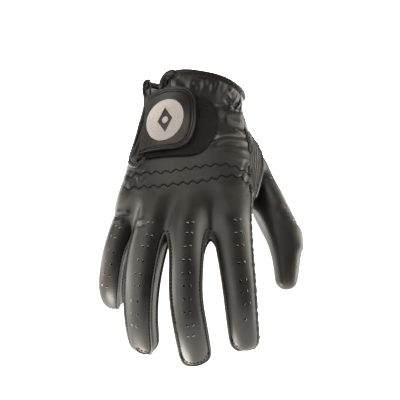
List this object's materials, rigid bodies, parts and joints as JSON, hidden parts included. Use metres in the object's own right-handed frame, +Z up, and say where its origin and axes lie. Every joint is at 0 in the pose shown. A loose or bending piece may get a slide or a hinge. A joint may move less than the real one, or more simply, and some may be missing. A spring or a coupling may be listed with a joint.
{
  "type": "bowls glove",
  "caption": "Worn right-hand leather bowls glove: open cuff, wrist slit with closing tab, knit thumb gusset, fourchettes between fingers.",
  "frame": {"origin": "middle of the wrist opening, where the wearer's wrist goes in", "axes": "+Z up the forearm, out of the cuff; -Y the way the back of the hand faces; +X to the thumb side"},
  "size_m": [0.1334, 0.1468, 0.1984],
  "materials": {
    "black_leather": "soft smooth sheepskin with a low sheen",
    "binding_leather": "thin folded leather tape",
    "stretch_knit": "fine ribbed stretch knit",
    "hook_and_loop": "dark matt hook and loop",
    "pale_print": "matt pale grey print"
  },
  "bodies": {
    "root": {"hand_panel": "black_leather", "fourchette_little_ring": "black_leather", "fourchette_ring_middle": "black_leather", "fourchette_middle_index": "black_leather", "thumb_piece": "black_leather", "stretch_gusset": "stretch_knit", "cuff_binding": "binding_leather", "slit_binding": "binding_leather", "closure_tab": "black_leather", "tab_hook_patch": "hook_and_loop", "loop_patch": "hook_and_loop", "badge": "pale_print"}
  },
  "joints": []
}
